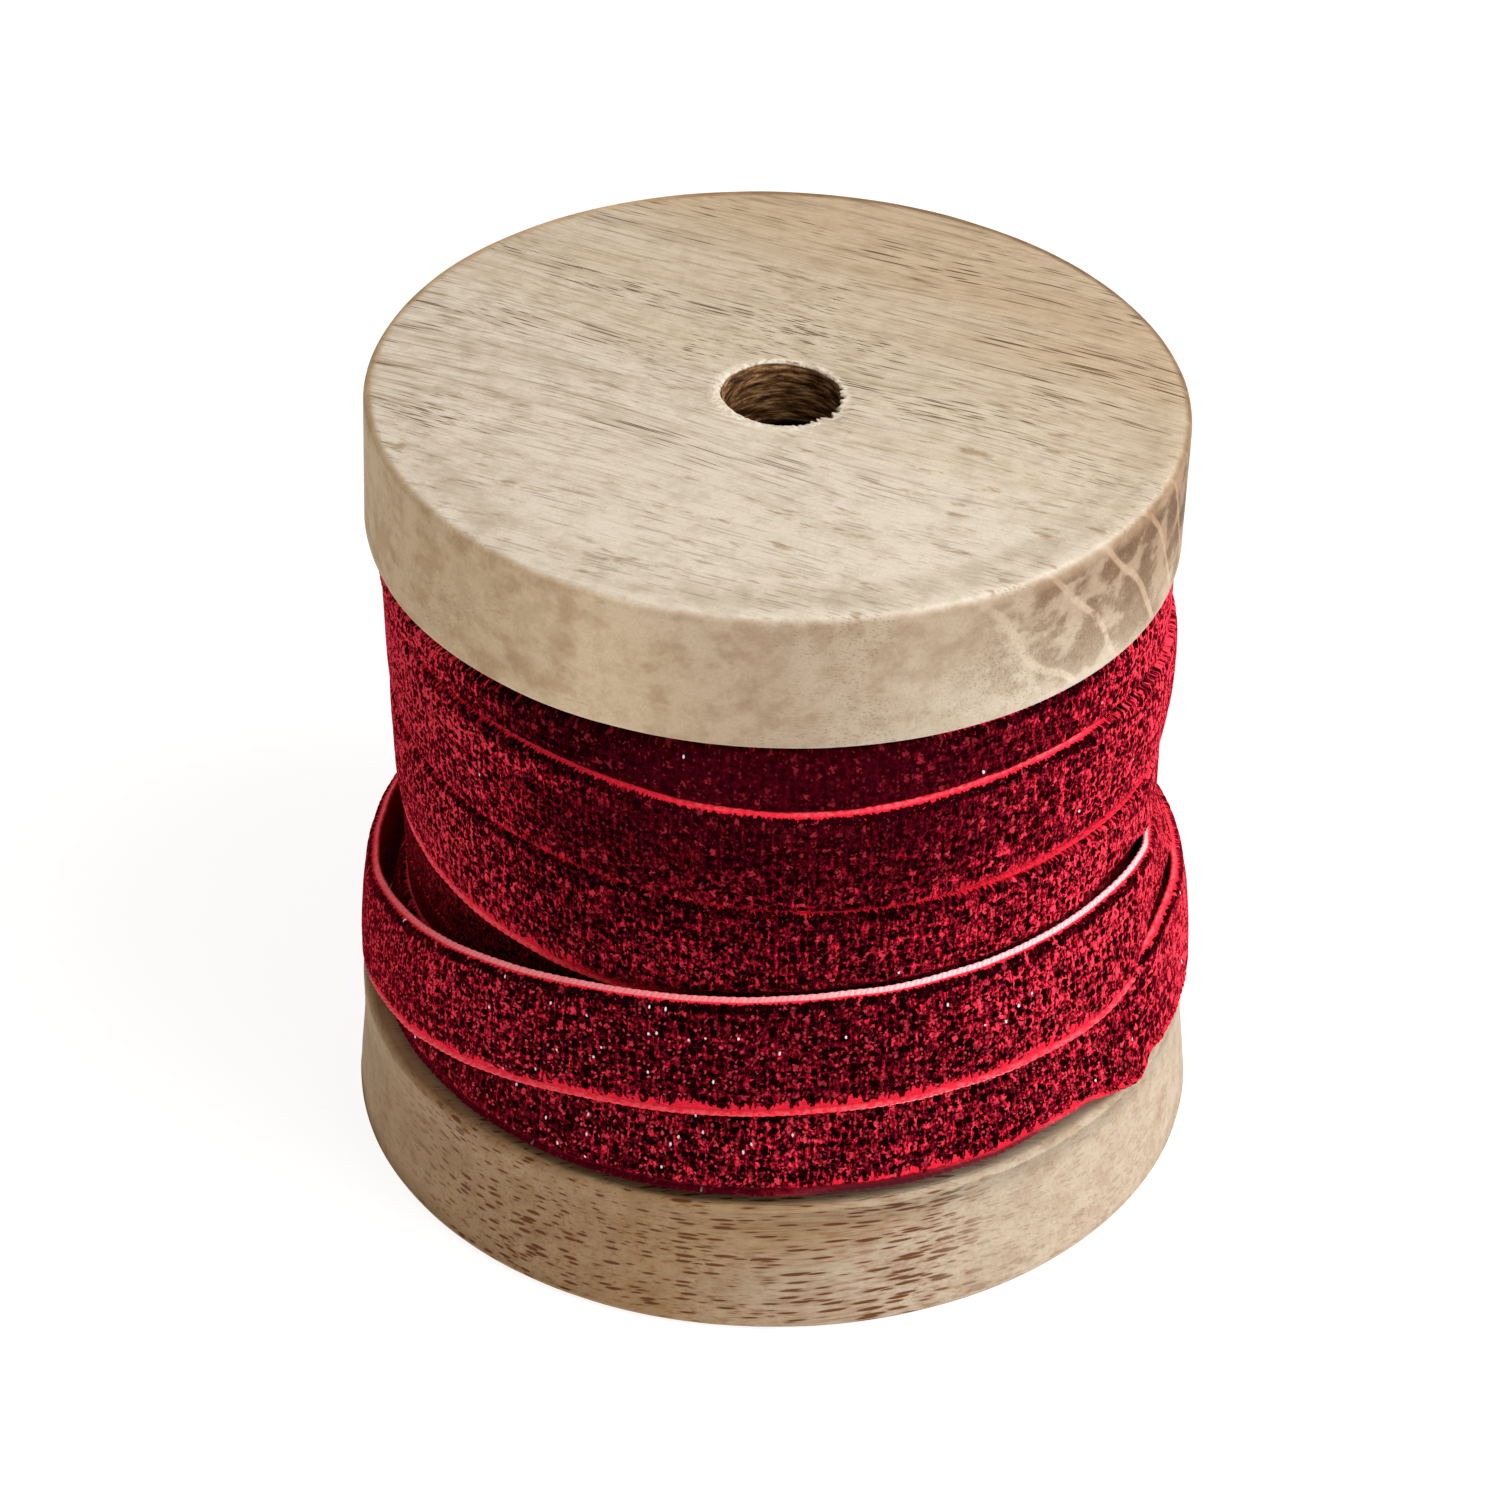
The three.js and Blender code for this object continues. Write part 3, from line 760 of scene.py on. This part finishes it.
def edge_colours(nodes, at):
    """The selvedge's colour, and the cord's with its painted highlights and its painted shade where it lies
    on the lower disc.
    """
    thread = nodes.cloud(at["place"], (2.2, 4.5, 0), 1, 0.5, "2D")
    selvedge = nodes.mixed(thread, *SELVEDGE_REDS)
    cord = nodes.mixed(nodes.between(thread, 0.35, 0.65), *CORD_REDS)
    twist = nodes.plus(nodes.times(at["along"], TWIST_ALONG), nodes.times(at["down"], TWIST_DOWN))
    bead = nodes.calc("SINE", twist)
    upper = nodes.plus(nodes.between(at["x"], -30, -20, 0.15, 0.45), nodes.between(at["x"], -4, 12, 0, 0.5))
    upper = nodes.times(upper, nodes.patch(at, HIGHLIGHT_UPPER), nodes.between(bead, -0.9, 0.2, 0.62, 1.08))
    lower = nodes.times(nodes.patch(at, HIGHLIGHT_LOWER), 0.6, nodes.between(bead, -0.3, 0.6, 0.2, 1.5))
    cord = nodes.mixed(nodes.plus(upper, lower), cord, CORD_HIGHLIGHT_PINK)
    return selvedge, nodes.mixed(nodes.times(nodes.patch(at, CORD_FOOT), 0.92), cord, CORD_IN_SHADE)


def velvet_material(name, roughness, specular, sheen):
    """Cut pile with flat woven edges. The pile's faces are dull and the edges' faces have some gloss."""
    nodes = Nodes(name)
    at = velvet_values(nodes)
    tone = pile_tone(nodes, at)
    pile = lit_tufts(nodes, at, nodes.ramp(tone, PILE_TONES))
    pile = nodes.mixed(nodes.times(nodes.patch(at, SLACK_SHADE), 0.8), pile, DEEP_SHADE)
    selvedge, cord = edge_colours(nodes, at)
    teeth = nodes.between(at["from_middle"], *TEETH_FROM_MIDDLE, 0, TEETH_LONG)
    teeth = nodes.times(nodes.minus(at["grain"], 0.5), teeth)
    edge = nodes.between(nodes.plus(at["zone"], teeth), 0.45, 0.65)
    colour = nodes.mixed(nodes.calc("MAXIMUM", edge, nodes.patch(at, COMB)), pile, selvedge)
    colour = nodes.mixed(nodes.between(at["zone"], 1.1, 1.7), colour, cord)
    colour = nodes.mixed(nodes.times(nodes.patch(at, RIBBON_FOOT), 0.85), colour, FOOT_PAINTED_SHADE)
    return nodes.finish(colour, tone, 0.2, 0.7, {
        "Roughness": roughness, "Specular IOR Level": specular, "Sheen Weight": sheen,
        "Sheen Roughness": 0.35, "Sheen Tint": (1, 0.03, 0.06, 1)})


# Wood

# The clouds that follow the grain: their waves in a millimetre along and across it, detail and roughness
GRAIN_CLOUDS = {
    "broad": (0.02, 0.11, 2, 0.5), "streak": (0.035, 0.8, 3, 0.6), "hair": (0.13, 3.6, 2, 0.55),
    "fibre": (0.22, 5.5, 2, 0.6), "crowd": (0.04, 0.2, 1, 0.5), "spots": (0.3, 0.9, 3, 0.65),
}
# The grain sways from its direction in slow waves: how many are in a millimetre, and how far they go
SWAY_WAVES = (0.03, 0.06, 0.06)
SWAY = (0, 5, 5)
# How far the ground tones wander into each other
FADE_UNEVEN = 8
# The side's last stretch outwards, over which its own looks set in
SIDE_BLEND = 0.5
MIDDLE_FRONT = (("x", -30, -21), ("x", 19, 9))
STAIN_RING = (("radius", 24.8, 27), ("radius", 29.6, 28))
BLOTCHED = (("smudge", 0.4, 0.54), ("level", 62.2, 61))
SMUDGE_BROWN = (0.64, 0.52, 0.39)
SPOT_BROWN = (0.56, 0.44, 0.31)
RING_BROWN = (0.5, 0.4, 0.3)
END_GRAIN_BROWN = (0.33, 0.235, 0.145)
# The end grain's pale rays: how they slant, and half the step from one to the next
RAY_PALE = (1.4, 1.42, 1.44)
RAY_SLANT = 0.55
RAY_STEP = 2.1
TORN_PALE = rgb(232, 222, 204)
# Inside the bore: painted shade darkens the wall to brown with the drill's marks, and painted shadow turns
# it black deep inside
BORE_PAINTED_SHADOW = rgb(10, 5, 3)
BORE_MARKS_AND_SHADE = ((0.36, rgb(30, 16, 7)), (0.5, rgb(96, 64, 34)), (0.64, rgb(168, 130, 92)))

# Each disc's wood. Its grain runs one way through the whole piece. pores_mm gives how many pores fit in a
# millimetre along the grain, across it and, on the side, inwards, and pore_reach the smallest and the
# largest reach of one in its cell. fade_way is the direction, and fade where along it, the first tone
# turns into the second. Beyond side_radius the grain has the side's share, and side_tints go from left to
# right. Pores fade out at the sides of a piece with few_pores, and the grain in front of calm_front.
# On the lower disc the left is browner and darker, in the first tone and the side's tint: partly the wood's
# own colour, partly painted shade on the side away from the lamps
BASE_WOOD = {
    "grain_deg": 4, "pores_mm": (0.36, 3.1, 0.95), "pore_reach": (0.3, 0.44), "pore_dark": 0.9,
    "fade_way": (1, 0, 0), "fade": (-8, 20), "bore_centre": (0, 0),
    "first": rgb(170, 142, 107), "second": rgb(188, 173, 152), "brown": rgb(134, 88, 46),
    "pore": rgb(96, 46, 12), "side_radius": BASE_TOP_RADIUS - 0.3, "side_grain": 1,
    "side_tints": ((0, (0.92, 0.92, 0.92)), (0.3, (1, 1, 1))), "few_pores": 0.85, "calm_front": -40,
}
TOP_WOOD = {
    "grain_deg": -24, "pores_mm": (0.15, 4.6, 4.6), "pore_reach": (0.08, 0.34), "pore_dark": 0.8,
    "fade_way": (-0.5, -0.87, 0), "fade": (-28, 8), "bore_centre": TOP_BORE,
    "first": rgb(200, 179, 150), "second": rgb(219, 209, 192), "brown": rgb(146, 120, 90),
    "pore": rgb(82, 54, 30), "side_radius": TOP_RADIUS - 0.3, "side_grain": 0.25,
    "side_tints": ((0, (0.8, 0.66, 0.49)), (0.2, (1.04, 0.9, 0.74)), (0.5, (0.61, 0.49, 0.39)),
                   (0.8, (0.5, 0.41, 0.33)), (1, (0.46, 0.36, 0.28))),
    "few_pores": 0, "calm_front": -3,
}


def wood_values(nodes, wood):
    """What the wood's colours go by. level is the height along the tilted upper disc's axis."""
    place = nodes.millimetres()
    x, y, z = nodes.parts(place)
    bore_x, bore_y = wood["bore_centre"]
    centred = nodes.vector("MULTIPLY_ADD", place, (1, 1, 0), (-bore_x, -bore_y, 0))
    radius = nodes.vector("LENGTH", centred, output="Value")
    turned = nodes.add("VectorRotate", {"rotation_type": "Z_AXIS"},
                       {"Vector": place, "Angle": -math.radians(wood["grain_deg"])}).outputs[0]
    sway = nodes.noise(turned, SWAY_WAVES, 1)["Color"]
    at = {
        "place": place, "x": x, "y": y, "z": z, "radius": radius,
        "level": nodes.plus(z, nodes.times(x, TILT_SLOPE)),
        "side": nodes.between(radius, wood["side_radius"] - SIDE_BLEND, wood["side_radius"]),
        "upper": nodes.between(z, ROLL_HEAD_Z - 0.2, ROLL_HEAD_Z + 0.8),
        "sway": nodes.vector("MULTIPLY_ADD", sway, SWAY, turned),
        "mottle": nodes.cloud(place, (0.55, 0.55, 0.55), 3, 0.65),
        "grit": nodes.cloud(place, (5, 5, 5), 2, 0.7),
        "smudge": nodes.cloud(place, (0.3, 0.3, 0.4), 3, 0.6),
    }
    for name, (along, across, detail, roughness) in GRAIN_CLOUDS.items():
        at[name] = nodes.cloud(at["sway"], (along, across, across), detail, roughness)
    return at


def pores(nodes, at, wood):
    """Long pores in cells along the grain: each one's hole and the brown round it."""
    along, across, inwards = wood["pores_mm"]
    squeezed = nodes.between(at["side"], 0, 1, across, inwards)
    squeezed = nodes.add("CombineXYZ", None, {0: along, 1: squeezed, 2: across}).outputs[0]
    distance, chance = nodes.cells(nodes.vector("MULTIPLY", at["sway"], squeezed), 1.0, "3D")
    reach = nodes.between(at["crowd"], 0.36, 0.64, *wood["pore_reach"])
    reach = nodes.times(reach, nodes.between(chance, 0, 1, 0.5, 1.15))
    depth = nodes.minus(reach, distance)
    return nodes.between(depth, -0.04, 0.1), nodes.between(depth, -0.3, 0.06, 0, 0.35)


def ground(nodes, at, wood):
    """The bare tones: the first one turning into the second, with mottles and grit over them."""
    way = nodes.vector("DOT_PRODUCT", at["place"], wood["fade_way"], output="Value")
    way = nodes.plus(way, nodes.between(at["broad"], 0.25, 0.75, -FADE_UNEVEN, FADE_UNEVEN))
    colour = nodes.mixed(nodes.between(way, *wood["fade"]), wood["first"], wood["second"])
    colour = nodes.mixed(nodes.between(at["mottle"], 0.42, 0.68, 0, 0.22), colour, wood["brown"])
    return nodes.mixed(nodes.between(at["grit"], 0.35, 0.75, 0, 0.16), colour, wood["brown"])


def grained(nodes, at, wood, colour):
    """The colour with its lines, fibres and pores, and how deep the pores are."""
    few, calm = wood["few_pores"], wood["calm_front"]
    face = nodes.between(at["side"], 0, 1, 1, wood["side_grain"])
    face = nodes.times(face, nodes.between(at["y"], calm - 14, calm, 0.3, 1))
    front = nodes.patch(at, MIDDLE_FRONT)
    even = nodes.times(nodes.between(front, 0, 1, 1 - few * 0.7, 1), face)
    line = nodes.plus(nodes.between(at["streak"], 0.44, 0.74, 0, 0.3),
                      nodes.between(at["hair"], 0.54, 0.68, 0, 0.5))
    colour = nodes.mixed(nodes.calc("MULTIPLY", line, even, clamp=True), colour, wood["brown"])
    line = nodes.times(nodes.between(at["fibre"], 0.48, 0.78, 0, 0.45), even)
    colour = nodes.mixed(line, colour, wood["brown"])
    hole, halo = pores(nodes, at, wood)
    shown = nodes.times(nodes.between(front, 0, 1, 1 - few, 1), face)
    colour = nodes.mixed(nodes.times(halo, shown), colour, wood["brown"])
    return nodes.mixed(nodes.times(hole, wood["pore_dark"], shown), colour, wood["pore"]), hole


def turned_side(nodes, at, wood, colour):
    """The colour with the turned side's own tints and its smudges."""
    tint = nodes.ramp(nodes.between(at["x"], -30, 30), wood["side_tints"])
    colour = nodes.tinted(at["side"], colour, tint)
    most = 0.5 - wood["few_pores"] * 0.3
    blotch = nodes.times(nodes.between(at["smudge"], 0.45, 0.66, 0, most), at["side"])
    return nodes.tinted(blotch, colour, SMUDGE_BROWN)


def stained_face(nodes, at, colour):
    """The colour with the upper disc's small spots on the front half, and a stain inside its front edge."""
    face = nodes.minus(at["upper"], at["side"], clamp=True)
    spots = nodes.between(at["spots"], 0.58, 0.72, 0, 0.75)
    spots = nodes.times(spots, nodes.between(at["y"], 6, -6), face)
    colour = nodes.tinted(spots, colour, SPOT_BROWN)
    ring = nodes.times(nodes.patch(at, STAIN_RING), nodes.between(at["y"], 4, -14, 0, 0.36),
                       nodes.between(at["smudge"], 0.3, 0.6, 0.1, 1), at["upper"])
    return nodes.tinted(ring, colour, RING_BROWN)


def end_grain(nodes, at, colour):
    """The colour with end grain at the right of the upper disc's side: brown blotches between pale rays."""
    end = nodes.times(nodes.between(at["x"], 12, 21), at["upper"], at["side"])
    wobble = nodes.between(nodes.cloud(at["place"], (0.12, 0.12, 0.12), 0), 0.2, 0.8, -0.7, 0.7)
    slant = nodes.plus(at["y"], nodes.times(at["z"], RAY_SLANT), wobble)
    ray = nodes.between(nodes.calc("PINGPONG", slant, RAY_STEP), 1.72, 2.0)
    ray = nodes.times(ray, nodes.between(at["mottle"], 0.3, 0.5, 0.3, 1))
    dark = nodes.times(nodes.patch(at, BLOTCHED), nodes.between(ray, 0, 1, 0.75, 0),
                       nodes.between(at["grit"], 0.3, 0.7, 0.7, 1.1))
    colour = nodes.tinted(nodes.calc("MULTIPLY", dark, end, clamp=True), colour, END_GRAIN_BROWN)
    return nodes.tinted(nodes.times(ray, end, 0.7), colour, RAY_PALE)


def drilled(nodes, at, colour):
    """The colour with the bore: torn pale at its rim, brown with the drill's marks and painted shade, and
    black with painted shadow deep inside.
    """
    bore = nodes.ramp(nodes.cloud(at["place"], (0.5, 0.5, 3.4), 3, 0.7), BORE_MARKS_AND_SHADE)
    low = nodes.plus(at["z"], nodes.between(at["broad"], 0.3, 0.7, -0.5, 0.5))
    bore = nodes.mixed(nodes.between(low, 57.5, 58.1, 1, 0), bore, BORE_PAINTED_SHADOW)
    torn = nodes.between(nodes.cloud(at["place"], (2.2, 2.2, 2.2), 2, 0.6), 0.4, 0.58, 0.1, 0.85)
    torn = nodes.times(nodes.between(at["radius"], BORE_RADIUS + 0.5, BORE_RADIUS + 1.2, 1, 0), torn)
    colour = nodes.mixed(torn, colour, TORN_PALE)
    inside = nodes.between(at["radius"], BORE_RADIUS + 0.4, BORE_RADIUS + 0.6, 1, 0)
    sunk = nodes.between(at["level"], TOP_FACE_Z - 0.25, TOP_FACE_Z - 0.1, 1, 0)
    return nodes.mixed(nodes.times(inside, sunk), colour, bore)


def wood_material(name, wood):
    """Light turned wood, with a relief of raised fibres and sunk pores."""
    nodes = Nodes(name)
    at = wood_values(nodes, wood)
    colour, hole = grained(nodes, at, wood, ground(nodes, at, wood))
    colour = stained_face(nodes, at, turned_side(nodes, at, wood, colour))
    colour = drilled(nodes, at, end_grain(nodes, at, colour))
    relief = nodes.minus(nodes.times(at["fibre"], 0.35), hole)
    return nodes.finish(colour, relief, 0.1, 0.5, {"Roughness": 0.62, "Specular IOR Level": 0.12})


# Stage, lights and camera

FLOOR_HALF = 4000
FLOOR_DROP = 0.02
FLOOR_LOOKS = {"Base Color": (0.3, 0.3, 0.3, 1), "Emission Color": (1, 1, 1, 1), "Emission Strength": 0.85,
               "Roughness": 1.0, "Specular IOR Level": 0.0}
SKY_WARM_WHITE = (1, 0.93, 0.85, 1)
SKY_STRENGTH = 0.42
# Each lamp's place, width and height, and its power in watts
LAMPS = {
    "key": ((160, -110, 340), 200, 200, 0.9),
    "right": ((400, -110, 120), 160, 260, 1.1),
    "left": ((-420, 20, 150), 140, 260, 0.05),
}


def soft_light(name, place, width, height, power):
    """A rectangular lamp that looks at the part."""
    lamp = bpy.data.lights.new(name, "AREA")
    lamp.shape = "RECTANGLE"
    lamp.size, lamp.size_y = width * MM, height * MM
    lamp.energy = power
    item = bpy.data.objects.new(name, lamp)
    item.location = Vector(place) * MM
    item.rotation_euler = (Vector(AIM) - Vector(place)).to_track_quat("-Z", "Y").to_euler()
    bpy.context.scene.collection.objects.link(item)


def studio():
    """A plain pale floor just under the part, a warm white world and three soft lights."""
    floor_mesh = bpy.data.meshes.new("floor")
    half = FLOOR_HALF * MM
    corners = [(-half, -half, 0), (half, -half, 0), (half, half, 0), (-half, half, 0)]
    floor_mesh.from_pydata(corners, [], [(0, 1, 2, 3)])
    floor = bpy.data.objects.new("floor", floor_mesh)
    floor.location.z = -FLOOR_DROP * MM
    bpy.context.scene.collection.objects.link(floor)
    floor_mesh.materials.append(Nodes("floor").uniform(FLOOR_LOOKS))
    world = bpy.data.worlds.new("studio")
    bpy.context.scene.world = world
    world.use_nodes = True
    sky = world.node_tree.nodes["Background"].inputs
    sky["Color"].default_value = SKY_WARM_WHITE
    sky["Strength"].default_value = SKY_STRENGTH
    for name, (place, width, height, power) in LAMPS.items():
        soft_light(name, place, width, height, power)


def camera():
    """The camera at the photograph's viewing angle."""
    lens = bpy.data.cameras.new("camera")
    lens.sensor_width = SENSOR_MM
    lens.lens = FOCAL_PX / FRAME_PX * SENSOR_MM
    lens.clip_start = 0.01
    lens.clip_end = 20
    item = bpy.data.objects.new("camera", lens)
    lift = math.radians(CAMERA_ELEVATION)
    back = Vector((0, -math.cos(lift), math.sin(lift)))
    item.location = (Vector(AIM) + back * CAMERA_DISTANCE) * MM
    item.rotation_euler = (-back).to_track_quat("-Z", "Y").to_euler()
    bpy.context.scene.collection.objects.link(item)
    bpy.context.scene.camera = item


camera()
studio()

velvet = velvet_material("ribbon_velvet", roughness=0.9, specular=0.0, sheen=0.35)
selvedges = velvet_material("ribbon_selvedge", roughness=0.4, specular=0.12, sheen=0.3)
upper, upper_length = strip("ribbon_upper_turns", UPPER_WINDING, UPPER_BARE, seed=21, cover=upper_cover)
slack, slack_length = strip("ribbon_slack_turns", SLACK_WINDING, SLACK_BARE, seed=22, cover=slack_cover,
                            lift=SLACK_LIFT)
under, under_length = strip("ribbon_under_turns", INNER_WINDING, PLAIN_BARE, seed=23, fine=False)
core = inner_layers()
for piece in (upper, slack, under, core):
    piece.data.materials.append(velvet)
    piece.data.materials.append(selvedges)

base = spool_base()
base.data.materials.append(wood_material("wood_base", BASE_WOOD))
top = spool_top()
top.data.materials.append(wood_material("wood_top", TOP_WOOD))
for piece in (base, top):
    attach(piece, "root")

bpy.context.scene.view_settings.view_transform = "Standard"
bpy.context.scene.view_settings.look = "None"
